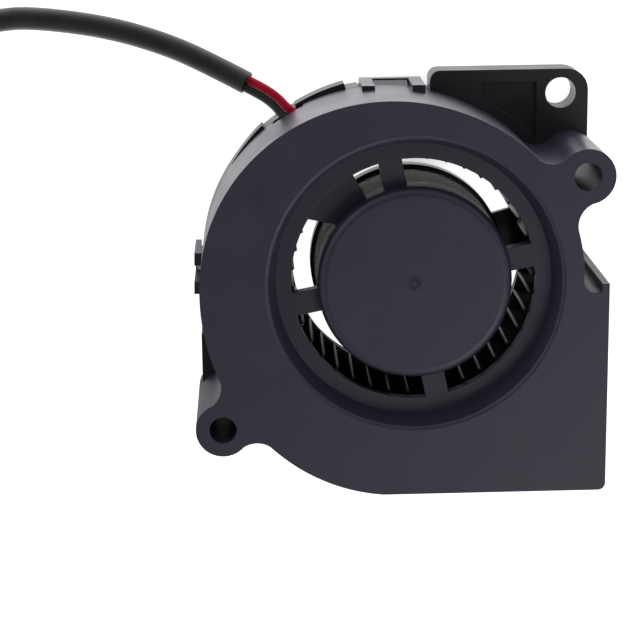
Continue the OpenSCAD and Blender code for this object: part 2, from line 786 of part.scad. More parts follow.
// Outer shape of the coiled length of the sleeve
module lead_coil() color([0.12, 0.13, 0.14])
    translate([coil_center[0], coil_center[1], 0]) ring(coil_outer_r, coil_inner_r, sleeve_d, coil_lift);

// Band that holds the coil together
module lead_tie() color([0.2, 0.2, 0.2]) {
    clear = 0.15;
    inside = coil_outer_r - coil_inner_r + 2 * clear;
    middle = (coil_outer_r + coil_inner_r) / 2;
    translate([coil_center[0] - middle, coil_center[1], coil_lift + sleeve_d / 2]) difference() {
        cube([inside + 2 * tie_t, tie_w, sleeve_d + 2 * tie_t], center = true);
        cube([inside, tie_w + cut, sleeve_d], center = true);
    }
}

module lead_tail_red() color("crimson") tube_along(beside(smooth(TAIL_ROUTE, 1), -tail_spread), lead_d);
module lead_tail_black() color([0.15, 0.15, 0.16])
    tube_along(beside(smooth(TAIL_ROUTE, 1), tail_spread), lead_d);

// Two-way crimp connector with an open front
module connector_housing() color("white") difference() {
    w = connector_size[0];
    mouth_y = connector_back[1] - connector_size[1];
    translate([connector_back[0] - w / 2, mouth_y, 0]) cube(connector_size);
    for (x = [-1, 1])
        translate([connector_back[0] + x * pin_pitch / 2 - cavity_w / 2, mouth_y - cut, cavity_z])
            cube([cavity_w, cavity_depth + cut, cavity_w]);
}

module connector_terminals() color("gold")
    for (x = [-1, 1])
        translate([connector_back[0] + x * pin_pitch / 2 - terminal_w / 2,
                connector_back[1] - connector_size[1] + cavity_depth - terminal_l,
                cavity_z + (cavity_w - terminal_w) / 2])
            cube([terminal_w, terminal_l, terminal_w]);

front_housing();
rear_cover();
bearing_tube();
bearing_outer(front_bearing_z);  // front_bearing
bearing_outer(rear_bearing_z);  // rear_bearing
bearing_inner(front_bearing_z);  // front_bearing_inner_ring
bearing_inner(rear_bearing_z);  // rear_bearing_inner_ring
stator_core();
insulator(stack_z + stack_h);  // front_insulator
insulator(stack_z - insulator_t);  // rear_insulator
winding(0);  // winding_1
winding(1);  // winding_2
winding(2);  // winding_3
winding(3);  // winding_4
winding_pins();
circuit_board();
hall_sensor();
driver_chip();
filter_capacitor();
impeller();
rotor_yoke();
magnet_ring();
shaft();
shaft_bush();
preload_spring();
retaining_clip();
lead_red();
lead_black();
lead_sleeve();
lead_coil();
lead_tie();
lead_tail_red();
lead_tail_black();
connector_housing();
connector_terminals();
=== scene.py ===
"""A small radial blower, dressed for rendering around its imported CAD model."""
import json
import math

import bmesh
import bpy
from mathutils import Matrix, Vector


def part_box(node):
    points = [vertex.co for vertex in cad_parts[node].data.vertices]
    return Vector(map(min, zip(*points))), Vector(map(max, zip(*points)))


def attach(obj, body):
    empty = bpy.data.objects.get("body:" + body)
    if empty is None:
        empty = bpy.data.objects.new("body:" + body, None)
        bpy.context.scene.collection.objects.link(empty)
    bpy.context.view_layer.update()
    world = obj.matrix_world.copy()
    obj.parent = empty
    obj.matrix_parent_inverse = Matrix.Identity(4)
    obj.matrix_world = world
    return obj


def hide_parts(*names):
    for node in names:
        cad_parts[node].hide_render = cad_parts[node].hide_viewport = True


MM = 0.001
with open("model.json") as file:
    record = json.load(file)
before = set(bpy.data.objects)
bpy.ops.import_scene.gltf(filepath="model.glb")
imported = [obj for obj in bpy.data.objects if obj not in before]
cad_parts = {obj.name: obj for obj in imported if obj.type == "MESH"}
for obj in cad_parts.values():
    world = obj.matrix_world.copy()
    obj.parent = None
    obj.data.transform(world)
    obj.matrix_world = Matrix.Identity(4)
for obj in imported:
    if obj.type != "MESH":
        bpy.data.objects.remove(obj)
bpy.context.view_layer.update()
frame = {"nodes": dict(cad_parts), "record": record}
scene = bpy.context.scene


# ---------------------------------------------------------------- camera
SENSOR_W = 36
NEAR_CLIP, FAR_CLIP = 0.01, 20


def look_from(place, ahead, up, lens):
    """Camera at a place in mm, looking ahead, with its picture upright along up."""
    data = bpy.data.cameras.new("view_camera")
    data.sensor_width = SENSOR_W
    data.sensor_fit = "HORIZONTAL"
    data.lens = lens
    data.clip_start, data.clip_end = NEAR_CLIP, FAR_CLIP
    camera = bpy.data.objects.new("view_camera", data)
    scene.collection.objects.link(camera)
    back = -Vector(ahead).normalized()
    right = Vector(up).cross(back).normalized()
    top = back.cross(right)
    turn = Matrix((right, top, back)).transposed().to_4x4()
    camera.matrix_world = Matrix.Translation(Vector(place) * MM) @ turn
    scene.camera = camera


look_from((-19.31, 55.34, 254.44), (0.0310, -0.2461, -0.9688), (0.0207, 0.9692, -0.2455), 111.15)


# ---------------------------------------------------------------- shader kit
OBJECT_COORDINATES = 3
BEVEL_SAMPLES = 6


class Value:
    """One socket of a shader tree; arithmetic on it adds Math nodes."""

    def __init__(self, finish, socket):
        self.finish, self.socket = finish, socket

    def math(self, operation, *others):
        ends = {i: getattr(o, "socket", o) for i, o in enumerate((self, *others))}
        return self.finish.node("ShaderNodeMath", {"operation": operation}, ends)

    def __add__(self, o): return self.math("ADD", o)
    def __sub__(self, o): return self.math("SUBTRACT", o)
    def __mul__(self, o): return self.math("MULTIPLY", o)
    def __pow__(self, o): return self.math("POWER", o)
    def above(self, o): return self.math("GREATER_THAN", o)
    def most(self, o): return self.math("MAXIMUM", o)
    def wave(self): return self.math("SINE")


class Finish:
    """A material with its Principled shader, and one method that adds any node."""

    def __init__(self, name, **fixed):
        self.material = bpy.data.materials.new(name)
        self.material.use_nodes = True
        self.tree = self.material.node_tree
        self.tree.nodes.clear()
        self.shader = self.tree.nodes.new("ShaderNodeBsdfPrincipled")
        self.out = self.tree.nodes.new("ShaderNodeOutputMaterial")
        self.tree.links.new(self.shader.outputs[0], self.out.inputs[0])
        for socket, value in fixed.items():
            self.set(socket.replace("_", " "), value)

    def set(self, socket, value):
        end = self.shader.inputs[socket]
        if isinstance(value, Value):
            self.tree.links.new(value.socket, end)
        else:
            end.default_value = (*value, 1) if socket.endswith("Color") and len(value) == 3 else value

    def node(self, kind, settings=None, ends=None, take=0):
        made = self.tree.nodes.new(kind)
        for name, value in (settings or {}).items():
            setattr(made, name, value)
        for name, value in (ends or {}).items():
            value = getattr(value, "socket", value)
            if isinstance(value, bpy.types.NodeSocket):
                self.tree.links.new(value, made.inputs[name])
            else:
                made.inputs[name].default_value = value
        return Value(self, made.outputs[take])

    def place(self):
        """Object coordinates."""
        return self.node("ShaderNodeTexCoord", take=OBJECT_COORDINATES)

    def axes(self):
        split = self.node("ShaderNodeSeparateXYZ", None, {0: self.place()}).socket.node
        return [Value(self, end) for end in split.outputs]

    def noise(self, grain_mm, detail=2.0, rough=0.5, stretch=None):
        where = self.place()
        if stretch:
            where = self.node("ShaderNodeMapping", None, {"Vector": where, "Scale": stretch})
        return self.node("ShaderNodeTexNoise", None, {
            "Vector": where, "Scale": 1 / (grain_mm * MM), "Detail": detail, "Roughness": rough})

    def spread(self, value, low, high, from_low=0.3, from_high=0.7):
        """A value's range from from_low to from_high, laid out from low to high."""
        return self.node("ShaderNodeMapRange", None,
                         {0: value, 1: from_low, 2: from_high, 3: low, 4: high})

    def blend(self, factor, first, second):
        """Colour between two others."""
        made = self.tree.nodes.new("ShaderNodeMix")
        made.data_type = "RGBA"
        for end, value in ((0, factor), (6, first), (7, second)):
            value = getattr(value, "socket", value)
            if isinstance(value, bpy.types.NodeSocket):
                self.tree.links.new(value, made.inputs[end])
            else:
                made.inputs[end].default_value = (*value, 1) if hasattr(value, "__len__") else value
        return Value(self, made.outputs[2])

    def relief(self, height, depth_mm, round_mm=0.0):
        """Bumps of a depth, over edges that look rounded to a radius."""
        ends = {"Height": height, "Distance": depth_mm * MM, "Strength": 1.0}
        if round_mm:
            ends["Normal"] = self.node("ShaderNodeBevel", {"samples": BEVEL_SAMPLES},
                                       {"Radius": round_mm * MM})
        self.set("Normal", self.node("ShaderNodeBump", None, ends))


METAL_EDGE = 0.05


def moulded(name, colour, worn, rough, edge_mm=0.12, grain=0.12, depth=0.004):
    """Moulding with a fine spark-eroded grain and faint cloudy variation."""
    f = Finish(name, Specular_IOR_Level=0.5)
    cloud = f.noise(5.0, 3.0, 0.55)
    fine = f.noise(grain, 2.0, 0.6)
    f.set("Base Color", f.blend(f.spread(cloud, 0.0, 1.0), colour, worn))
    f.set("Roughness", f.spread(cloud, rough - 0.03, rough + 0.05) + fine * 0.06)
    f.relief(fine + cloud * 1.5, depth, edge_mm)
    return f.material


def metal(name, colour, rough, grain_mm=0.08, stretch=None, dull=None, metallic=1.0):
    """Metal with a drawn or turned grain and duller clouds."""
    f = Finish(name, Metallic=metallic)
    streak = f.noise(grain_mm, 2.0, 0.5, stretch)
    cloud = f.noise(1.6, 3.0, 0.6)
    dull = dull or tuple(c * 0.75 for c in colour)
    f.set("Base Color", f.blend(f.spread(cloud, 0.0, 1.0), colour, dull))
    f.set("Roughness", f.spread(streak, rough - 0.06, rough + 0.1))
    f.relief(streak, 0.003, METAL_EDGE)
    return f.material


def skin(name, colour, deep, rough, coat=0.0, specular=0.5):
    """Extruded insulation: smooth, with slow waves in its gloss."""
    f = Finish(name, Coat_Roughness=0.15, Specular_IOR_Level=specular)
    wave = f.noise(1.2, 2.0, 0.5)
    fine = f.noise(0.1, 2.0, 0.6)
    f.set("Base Color", f.blend(f.spread(wave, 0.0, 1.0), colour, deep))
    f.set("Roughness", f.spread(wave, rough - 0.04, rough + 0.06))
    f.set("Coat Weight", coat)
    f.relief(fine + wave * 2, 0.006)
    return f.material


housing_black = moulded("housing_black", (0.027, 0.021, 0.0425), (0.032, 0.025, 0.0495), 0.38)
cover_black = moulded("cover_black", (0.0085, 0.008, 0.0115), (0.012, 0.0115, 0.0155), 0.42)
impeller_black = moulded("impeller_black", (0.008, 0.008, 0.0105), (0.012, 0.012, 0.014), 0.3,
                         0.1, 0.1, 0.003)
chip_black = moulded("chip_black", (0.012, 0.012, 0.012), (0.02, 0.02, 0.02), 0.5, 0.05)
tie_black = moulded("tie_black", (0.012, 0.012, 0.013), (0.018, 0.018, 0.019), 0.42, 0.08)
clip_white = moulded("clip_white", (0.75, 0.74, 0.68), (0.62, 0.6, 0.54), 0.4, 0.05)
bobbin_ivory = moulded("bobbin_ivory", (0.66, 0.6, 0.45), (0.56, 0.5, 0.36), 0.42, 0.06)
connector_ivory = moulded("connector_ivory", (0.72, 0.69, 0.6), (0.64, 0.6, 0.5), 0.36, 0.1)
ferrite_grey = moulded("ferrite_grey", (0.03, 0.03, 0.032), (0.05, 0.048, 0.046), 0.62, 0.05, 0.06, 0.01)
ceramic_tan = moulded("ceramic_tan", (0.42, 0.3, 0.17), (0.5, 0.37, 0.22), 0.5, 0.04)
yoke_steel = metal("yoke_steel", (0.9, 0.89, 0.82), 0.62, 0.2, (1, 1, 0.15), (0.8, 0.79, 0.72),
                   metallic=0.35)
bearing_steel = metal("bearing_steel", (0.62, 0.62, 0.64), 0.22)
lamination_steel = metal("lamination_steel", (0.3, 0.3, 0.33), 0.38, 0.12, (0.3, 0.3, 4))
brass = metal("turned_brass", (0.72, 0.5, 0.2), 0.28, 0.1, (0.3, 0.3, 3))
tin = metal("tinned_wire", (0.66, 0.66, 0.67), 0.3)
copper = metal("enamelled_copper", (0.62, 0.22, 0.08), 0.24, 0.3)
red_skin = skin("lead_red_skin", (0.6, 0.002, 0.03), (0.48, 0.001, 0.024), 0.42, 0.0, 0.25)
black_skin = skin("lead_black_skin", (0.022, 0.024, 0.026), (0.03, 0.033, 0.034), 0.34, 0.3)
sleeve_skin = skin("sleeve_skin", (0.0085, 0.0095, 0.0098), (0.013, 0.0142, 0.0146), 0.42)


def solder_mask():
    """Green board with tracks a little proud and paler."""
    f = Finish("solder_mask", Coat_Roughness=0.1)
    x, y = f.axes()[:2]
    tracks = ((x * 2600).wave() * (y * 1900).wave()).above(0.35)
    cloud = f.noise(1.5)
    f.set("Base Color", f.blend(tracks, (0.008, 0.09, 0.03), (0.02, 0.16, 0.06)))
    f.set("Roughness", f.spread(cloud, 0.3, 0.42))
    f.relief(tracks, 0.02)
    return f.material


board_green = solder_mask()

# Nodes that show as they are, or as a smooth copy; the others are rebuilt below
NODE_FINISH = {
    "front_housing": housing_black, "rear_cover": cover_black,
    "bearing_tube": brass, "front_bearing": bearing_steel, "rear_bearing": bearing_steel,
    "front_bearing_inner_ring": bearing_steel, "rear_bearing_inner_ring": bearing_steel,
    "front_insulator": bobbin_ivory, "rear_insulator": bobbin_ivory,
    "winding_pins": tin, "circuit_board": board_green, "hall_sensor": chip_black,
    "driver_chip": chip_black, "filter_capacitor": ceramic_tan, "rotor_yoke": yoke_steel,
    "magnet_ring": ferrite_grey, "shaft": bearing_steel, "shaft_bush": brass,
    "retaining_clip": clip_white,
    "connector_housing": connector_ivory, "connector_terminals": brass}


# ---------------------------------------------------------------- routes
def bend_through(points, steps):
    """Smooth curve through a route's points."""
    p, last, out = [Vector(q) for q in points], len(points) - 1, []
    for i in range(last):
        a, b, c, d = p[max(i - 1, 0)], p[i], p[i + 1], p[min(i + 2, last)]
        for k in range(steps):
            t = k / steps
            out.append(0.5 * (2 * b + (c - a) * t + (2 * a - 5 * b + 4 * c - d) * t * t
                              + (3 * b - a - 3 * c + d) * t ** 3))
    return out + [p[last]]


def heading(path, i):
    """Direction of a path at its point i."""
    return (path[min(i + 1, len(path) - 1)] - path[max(i - 1, 0)]).normalized()


def level_side(ahead):
    """Level direction to the left of a heading."""
    return Vector((-ahead.y, ahead.x, 0)).normalized()


def beside(path, offset):
    return [p + level_side(heading(path, i)) * offset for i, p in enumerate(path)]


def length_of(path):
    return sum((b - a).length for a, b in zip(path, path[1:]))


LEAD_ROUTE = [(-1.66, 8.54, 15.58), (-2.33, 11.98, 15.5), (-3.01, 15.51, 15.5), (-3.49, 17.96, 15.5),
              (-4.5, 19.9, 15.2), (-6.4, 19.7, 13.6), (-8.6, 19.3, 11.2), (-10.4, 18.8, 8.8),
              (-12.1, 18.2, 6.9), (-13.9, 18.5, 5.9), (-15.6, 19.85, 5.6), (-16.4, 20.7, 5.4),
              (-17.5, 21.6, 5.2), (-18.75, 22.35, 5), (-20.2, 23.1, 4.7), (-21.1, 23.6, 4.6)]
SLEEVE_ROUTE = [(-20.2, 23.2, 4.7), (-24, 25.1, 3.6), (-28.6, 27.25, 2.7), (-33.6, 29, 2),
                (-38.6, 30.25, 1.6), (-44, 31.1, 1.5), (-48.5, 31.45, 1.5), (-52, 31.2, 1.5),
                (-57, 31, 1.55), (-62, 31.3, 1.7)]
TAIL_ROUTE = [(-68.2, 26.3, 1.8), (-69.6, 25.2, 1.8), (-70.7, 23.9, 2), (-71.3, 22.3, 2.3),
              (-71.4, 20, 2.4), (-71.4, 18.6, 2.4)]
CURVE_STEPS = 5
SHARP_FROM = 35
LEAD_D, SLEEVE_D = 1.1, 2.9
COIL_CENTER, COIL_R, COIL_TURNS, COIL_Z = Vector((-68, 16, 0)), 15.5, 2, 1.8


def tube(name, path, radius, sides, material, mouth=0.0, wall=0.25, body="housing"):
    """Closed tube along a path in mm. With a mouth, its first end is hollow to that depth."""
    rings = []
    frames = []
    for i, p in enumerate(path):
        ahead = heading(path, i)
        side = level_side(ahead)
        frames.append((p, side, ahead.cross(side)))

    def ring(where, r):
        p, side, up = frames[where]
        return [p + (side * math.cos(math.tau * k / sides) + up * math.sin(math.tau * k / sides)) * r
                for k in range(sides)]

    if mouth:
        deep = next(i for i in range(len(path)) if length_of(path[:i + 1]) > mouth)
        rings += [ring(i, radius - wall) for i in range(deep, -1, -1)]
        rings.append(ring(0, radius - wall * 0.3))
    rings += [ring(i, radius) for i in range(len(path))]
    mesh = bpy.data.meshes.new(name)
    points = [tuple(v * MM) for r in rings for v in r]
    faces = [(i * sides + k, i * sides + (k + 1) % sides,
              (i + 1) * sides + (k + 1) % sides, (i + 1) * sides + k)
             for i in range(len(rings) - 1) for k in range(sides)]
    faces.append(tuple(range(sides - 1, -1, -1)))
    faces.append(tuple((len(rings) - 1) * sides + k for k in range(sides)))
    mesh.from_pydata(points, [], faces)
    return finish_piece(name, mesh, material, body)


def finish_piece(name, mesh, material, body="housing"):
    """Smooth, closed, outward-facing piece that rides on a body."""
    work = bmesh.new()
    work.from_mesh(mesh)
    bmesh.ops.recalc_face_normals(work, faces=work.faces)
    work.to_mesh(mesh)
    work.free()
    mesh.polygons.foreach_set("use_smooth", [True] * len(mesh.polygons))
    mesh.set_sharp_from_angle(angle=math.radians(SHARP_FROM))
    mesh.materials.clear()
    mesh.materials.append(material)
    piece = bpy.data.objects.new(name, mesh)
    scene.collection.objects.link(piece)
    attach(piece, body)
    return piece


# ---------------------------------------------------------------- cords
TURN_STEPS, PAST_STEPS = 40, 4
COIL_PITCH = SLEEVE_D * 1.01
LEAD_GAP = 0.08
FREE_FROM, FREE_OVER = 23.5, 2
DRAWN_TOGETHER, RED_HIGHER = 0.06, 0.14

lead_path = bend_through(LEAD_ROUTE, CURVE_STEPS)
sleeve_path = bend_through(SLEEVE_ROUTE, CURVE_STEPS)
sleeve_path += [COIL_CENTER + Vector((x, COIL_R, COIL_Z)) for x in (2.5, 0)]
for i in range(1, COIL_TURNS * TURN_STEPS + PAST_STEPS + 1):
    turned = i / TURN_STEPS
    a = math.pi / 2 + math.tau * turned
    r = COIL_R - COIL_PITCH * turned
    sleeve_path.append(COIL_CENTER + Vector((r * math.cos(a), r * math.sin(a), COIL_Z)))


def side_by_side(path, side):
    """One lead of the pair: on the level in the spoke, and the red one a little higher outside."""
    moved = []
    for p, q in zip(path, beside(path, side * (LEAD_D + LEAD_GAP) / 2)):
        free = min(1, max(0, (math.hypot(p.x, p.y) - FREE_FROM) / FREE_OVER))
        moved.append(q + (p - q) * DRAWN_TOGETHER * free + Vector((0, 0, -RED_HIGHER * side * free)))
    return moved


red_path = side_by_side(lead_path, -1)
black_path = side_by_side(lead_path, 1)
lead_red = tube("lead_red_wire", red_path, LEAD_D / 2, 20, red_skin)
lead_black = tube("lead_black_wire", black_path, LEAD_D / 2, 20, black_skin)
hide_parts("lead_red")
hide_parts("lead_black")
for piece, path in ((lead_red, red_path), (lead_black, black_path)):
    tuple(path[0] * MM)
    length_of(path) * MM
    [tuple(p * MM) for p in path]

sleeve = tube("lead_sleeve_tube", sleeve_path, SLEEVE_D / 2, 28, sleeve_skin, mouth=1.2)
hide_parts("lead_sleeve", "lead_coil")

TAIL_APART, TAIL_WIDENS, TAIL_STRAIGHT = 0.55, 0.45, 8
tail_path = bend_through(TAIL_ROUTE, CURVE_STEPS)
for name, material, side in (("lead_tail_red", red_skin, -1), ("lead_tail_black", black_skin, 1)):
    widening = len(tail_path) - TAIL_STRAIGHT
    apart = [TAIL_APART + TAIL_WIDENS * min(1, i / widening) for i in range(len(tail_path))]
    path = [p + level_side(heading(tail_path, i)) * side * apart[i] for i, p in enumerate(tail_path)]
    wire = tube(name + "_wire", path, LEAD_D / 2, 16, material)
    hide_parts(name)


def band(name, low, high, thickness, material):
    """Flat strap bent round the coil: a rounded loop with eased edges."""
    w, h = (high.x - low.x) / 2, (high.z - low.z) / 2
    centre = (low + high) / 2
    work = bmesh.new()
    outline = []
    corner, ease, inset_by = 0.9, 0.08, 0.06
    for cx, cz, start in ((1, 1, 0), (-1, 1, 90), (-1, -1, 180), (1, -1, 270)):
        for k in range(7):
            a = math.radians(start + 15 * k)
            outline.append((cx * (w - corner) + corner * math.cos(a),
                            cz * (h - corner) + corner * math.sin(a), math.cos(a), math.sin(a)))
    rings = []
    for y, inset in ((low.y, inset_by), (low.y + ease, 0), (high.y - ease, 0), (high.y, inset_by),
                     (high.y, thickness), (low.y, thickness)):
        rings.append([work.verts.new(Vector((centre.x + px - nx * inset, y, centre.z + pz - nz * inset)) * MM)
                      for px, pz, nx, nz in outline])
    count = len(outline)
    for i, j in zip(range(len(rings)), list(range(1, len(rings))) + [0]):
        for k in range(count):
            work.faces.new((rings[i][k], rings[i][(k + 1) % count], rings[j][(k + 1) % count], rings[j][k]))
    mesh = bpy.data.meshes.new(name)
    work.to_mesh(mesh)
    work.free()
    return finish_piece(name, mesh, material)


STRAP_T = 0.3
tie_low, tie_high = (Vector(c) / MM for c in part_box("lead_tie"))
tie = band("lead_tie_band", tie_low, tie_high, STRAP_T, tie_black)
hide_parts("lead_tie")


# ---------------------------------------------------------------- smooth copies of CAD nodes
FLAT_ENOUGH = 0.99999
SAME_PLACE = 2e-6
ROTOR_NODES = frame["record"]["behaviour"]["bodies"]["rotor"]


def merged_copy(name, reshape=None):
    """Copy of a CAD node's mesh with its doubles merged, and its points moved by reshape in mm."""
    work = bmesh.new()
    work.from_mesh(frame["nodes"][name].data)
    bmesh.ops.remove_doubles(work, verts=work.verts, dist=SAME_PLACE)
    if reshape:
        for vert in work.verts:
            vert.co = reshape(vert.co / MM) * MM
    mesh = bpy.data.meshes.new(name + "_dressed")
    work.to_mesh(mesh)
    work.free()
    return mesh


def dress(name, crease=24.0):
    """Smooth piece that stands for a CAD node."""
    mesh = merged_copy(name)
    mesh.polygons.foreach_set("use_smooth", [True] * len(mesh.polygons))
    even_normals(mesh, crease)
    mesh.materials.append(NODE_FINISH[name])
    piece = bpy.data.objects.new(name + "_dressed", mesh)
    scene.collection.objects.link(piece)
    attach(piece, "rotor" if name in ROTOR_NODES else "housing")
    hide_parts(name)
    return piece


def even_normals(mesh, crease):
    """Normals led by whole flat regions, so that the long thin triangles inside one don't shade."""
    work = bmesh.new()
    work.from_mesh(mesh)
    work.faces.ensure_lookup_table()
    region = {}
    for first in work.faces:
        if first.index in region:
            continue
        members, waiting = [], [first]
        region[first.index] = 0.0
        while waiting:
            face = waiting.pop()
            members.append(face)
            for edge in face.edges:
                for other in edge.link_faces:
                    if other.index not in region and other.normal.dot(first.normal) > FLAT_ENOUGH:
                        region[other.index] = 0.0
                        waiting.append(other)
        area = sum(face.calc_area() for face in members)
        for face in members:
            region[face.index] = area
    limit = math.cos(math.radians(crease))
    normals = []
    for face in work.faces:
        for loop in face.loops:
            total = Vector()
            for other in loop.vert.link_faces:
                if other.normal.dot(face.normal) > limit:
                    total += other.normal * region[other.index]
            normals.append(total.normalized() if total.length > 0 else face.normal.copy())
    work.free()
    mesh.normals_split_custom_set(normals)


dressed = {name: dress(name) for name in (
    "front_housing", "rear_cover", "rotor_yoke", "connector_housing", "shaft")}


# ---------------------------------------------------------------- what repeats
def repeat_tree():
    """Node group that sets copies of a piece along a step, each turned on from the last."""
    tree = bpy.data.node_groups.new("repeat_piece", "GeometryNodeTree")
    face = tree.interface
    face.new_socket("Piece", in_out="INPUT", socket_type="NodeSocketGeometry")
    for name, kind in (("Count", "Int"), ("Turn", "Float"), ("Step", "Vector"),
                       ("Finish", "Material")):
        face.new_socket(name, in_out="INPUT", socket_type="NodeSocket" + kind)
    face.new_socket("Pieces", in_out="OUTPUT", socket_type="NodeSocketGeometry")
    given = tree.nodes.new("NodeGroupInput").outputs

    def put(kind, ends):
        made = tree.nodes.new(kind)
        for end, source in ends.items():
            tree.links.new(source, made.inputs[end])
        return made

    line = put("GeometryNodeMeshLine", {"Count": given["Count"], "Offset": given["Step"]})
    number = tree.nodes.new("GeometryNodeInputIndex").outputs[0]
    turned = put("ShaderNodeMath", {0: number, 1: given["Turn"]})
    turned.operation = "MULTIPLY"
    spin = put("ShaderNodeCombineXYZ", {"Z": turned.outputs[0]})
    copies = put("GeometryNodeInstanceOnPoints", {
        "Points": line.outputs[0], "Instance": given["Piece"], "Rotation": spin.outputs[0]})
    real = put("GeometryNodeRealizeInstances", {0: copies.outputs[0]})
    dyed = put("GeometryNodeSetMaterial", {"Geometry": real.outputs[0], "Material": given["Finish"]})
    put("NodeGroupOutput", {0: dyed.outputs[0]})
    return tree


REPEAT = repeat_tree()


def repeated(unit, finish, count, turn=0.0, step=(0, 0, 0)):
    """Mesh of a number of copies of a unit mesh; turn in degrees, step in mm."""
    holder = bpy.data.objects.new("repeat_holder", unit)
    scene.collection.objects.link(holder)
    node = holder.modifiers.new("repeat", "NODES")
    node.node_group = REPEAT
    given = {"Count": count, "Turn": math.radians(turn), "Step": tuple(Vector(step) * MM),
             "Finish": finish}
    for item in REPEAT.interface.items_tree:
        if item.name in given:
            node[item.identifier] = given[item.name]
    graph = bpy.context.evaluated_depsgraph_get()
    mesh = bpy.data.meshes.new_from_object(holder.evaluated_get(graph), depsgraph=graph)
    bpy.data.objects.remove(holder)
    return mesh


def lofted(rings, closed=False):
    """Closed mesh through rings of as many points each: capped at both ends, or closed on itself."""
    count, total = len(rings[0]), len(rings)
    faces = [(i * count + k, i * count + (k + 1) % count,
              (i + 1) % total * count + (k + 1) % count, (i + 1) % total * count + k)
             for i in range(total if closed else total - 1) for k in range(count)]
    if not closed:
        faces += [tuple(range(count))[::-1], tuple((total - 1) * count + k for k in range(count))]
    mesh = bpy.data.meshes.new("unit")
    mesh.from_pydata([tuple(Vector(p) * MM) for ring in rings for p in ring], [], faces)
    return mesh


def arc_of(middle, height, radius, start, stop, steps=6):
    """Points of an arc in a profile, from one angle to another in degrees."""
    return [(middle + radius * math.cos(math.radians(start + (stop - start) * i / steps)),
             height + radius * math.sin(math.radians(start + (stop - start) * i / steps)))
            for i in range(steps + 1)]


def turned_shape(profile, steps=144):
    """Closed solid of revolution of a closed profile of (radius, height) points, in mm."""
    rings = []
    for k in range(steps):
        a = math.tau * k / steps
        rings.append([(r * math.cos(a), r * math.sin(a), z) for r, z in profile])
    mesh = lofted(rings, closed=True)
    work = bmesh.new()
    work.from_mesh(mesh)
    bmesh.ops.remove_doubles(work, verts=work.verts, dist=1e-7)
    work.to_mesh(mesh)
    work.free()
    return mesh


def rounded_box(size, middle, corner=0.15):
    """Box of a size about a middle, with rounded edges."""
    work = bmesh.new()
    bmesh.ops.create_cube(work, size=1.0)
    for vert in work.verts:
        vert.co = Vector([(vert.co[i] * size[i] + middle[i]) * MM for i in range(3)])
    bmesh.ops.bevel(work, geom=work.edges[:], offset=corner * MM, segments=3, profile=0.5,
                    affect="EDGES")
    mesh = bpy.data.meshes.new("unit")
    work.to_mesh(mesh)
    work.free()
    return mesh


def joined(name, meshes, finish, body):
    """One piece out of several closed meshes."""
    work = bmesh.new()
    for mesh in meshes:
        work.from_mesh(mesh)
    whole = bpy.data.meshes.new(name)
    work.to_mesh(whole)
    work.free()
    return finish_piece(name, whole, finish, body)


# ---------------------------------------------------------------- impeller
REAR_Z, TOP_Z, HUB_R, YOKE_R = 2.0, 14.45, 12.5, 12.0
YOKE_Z, SKIRT_Z = REAR_Z + 1.4, REAR_Z + 3.2
HUB_EDGE, SKIRT_EDGE = 0.8, 0.25
BUSH_R, BUSH_Z = 3, REAR_Z + 0.6
DISH_IN, DISH_OUT, DISH_DEPTH, DISH_SLOPE = 3.6, 8.8, 0.15, 0.2
RING_EDGE, TIE_EDGE = 0.25, 0.2
WEBS, WEB_SIZE, WEB_MIDDLE, WEB_TURN = 3, (3.1, 4.9, 1.2), (13.75, 0, REAR_Z + 1.2), 15.5
BLADES, BLADE_IN, BLADE_OUT, BLADE_T, BLADE_SWEEP = 39, 14.8, 18.7, 0.6, 11.0
BLADE_SHORT, BLADE_THIN, NOSE = 0.05, 0.6, 0.04


def blade_unit():
    """One forward-curved blade: round at its inner end, thickest in the middle, eased at the top."""
    stops = (0, 0.015, 0.04, 0.1, 0.2, 0.32, 0.44, 0.56, 0.68, 0.8, 0.9, 1.0)
    line = []
    for t in stops:
        a = math.radians(BLADE_SWEEP * t * t)
        r = BLADE_IN + (BLADE_OUT - BLADE_SHORT - BLADE_IN) * t
        line.append(Vector((r * math.cos(a), r * math.sin(a), 0)))

    def outline(share, z):
        left, right = [], []
        for i, t in enumerate(stops):
            side = level_side(heading(line, i))
            belly = BLADE_THIN + (1 - BLADE_THIN) * math.sin(math.pi * t)
            half = BLADE_T / 2 * belly * min(1, math.sqrt(t / NOSE + 0.06)) * share
            left.append(line[i] + side * half + Vector((0, 0, z)))
            right.append(line[i] - side * half + Vector((0, 0, z)))
        return right + left[::-1]

    return lofted([outline(1, YOKE_Z), outline(1, TOP_Z - 0.12), outline(0.82, TOP_Z - 0.03),
                   outline(0.5, TOP_Z)])


def rounded_ring(inner, outer, low, high, edge):
    """Ring with its four edges rounded."""
    return turned_shape(arc_of(outer - edge, low + edge, edge, 270, 360, 4)
                        + arc_of(outer - edge, high - edge, edge, 0, 90, 4)
                        + arc_of(inner + edge, high - edge, edge, 90, 180, 4)
                        + arc_of(inner + edge, low + edge, edge, 180, 270, 4))


